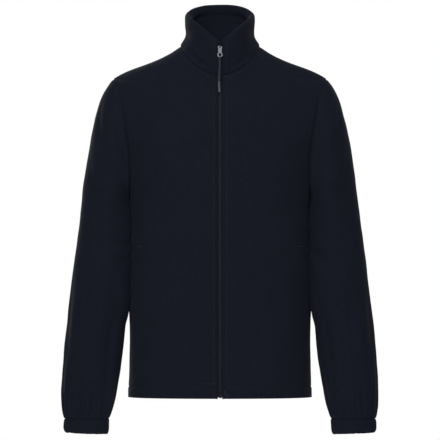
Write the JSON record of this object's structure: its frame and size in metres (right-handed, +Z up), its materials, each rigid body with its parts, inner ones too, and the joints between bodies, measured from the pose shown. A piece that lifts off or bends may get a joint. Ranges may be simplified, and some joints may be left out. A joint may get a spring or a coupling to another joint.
{
  "type": "fleece zip jacket",
  "caption": "Long-sleeved fleece jacket with a stand collar, a full-length front zip, elastic gathered cuffs and side-seam pockets, filled out and empty.",
  "frame": {"origin": "middle of the shoulders inside the jacket, where the wearer's shoulders hold it up, 690 mm above the hem", "axes": "+Z up, -Y towards the front with the zip, +X towards the wearer's left sleeve"},
  "size_m": [0.6364, 0.271, 0.8586],
  "materials": {
    "fleece": "dark navy brushed fleece, matt with a soft nap",
    "pocket_cloth": "dark navy fleece",
    "zip_tape": "dark navy woven tape",
    "zip_teeth": "dark navy plastic coil",
    "slider_metal": "gunmetal, polished on its edges",
    "pull_cord": "dark grey braided cord",
    "pull_plastic": "dark grey moulded plastic"
  },
  "bodies": {
    "root": {"front_left": "fleece", "front_right": "fleece", "back": "fleece", "sleeve_left": "fleece", "sleeve_right": "fleece", "cuff_left": "fleece", "cuff_right": "fleece", "collar": "fleece", "pocket_bag_left": "pocket_cloth", "pocket_bag_right": "pocket_cloth", "zip_tape_left": "zip_tape", "zip_tape_right": "zip_tape", "zip_chain": "zip_teeth", "zip_slider": "slider_metal"},
    "pull": {"pull_tab": "slider_metal", "pull_cord": "pull_cord", "pull_end": "pull_plastic"}
  },
  "joints": [
    {"name": "pull_swing", "type": "hinge", "parent": "root", "child": "pull", "pos_m": [0, -0.0879, 0.0105], "axis": [-1, 0, 0], "range_deg": [0, 160]}
  ]
}
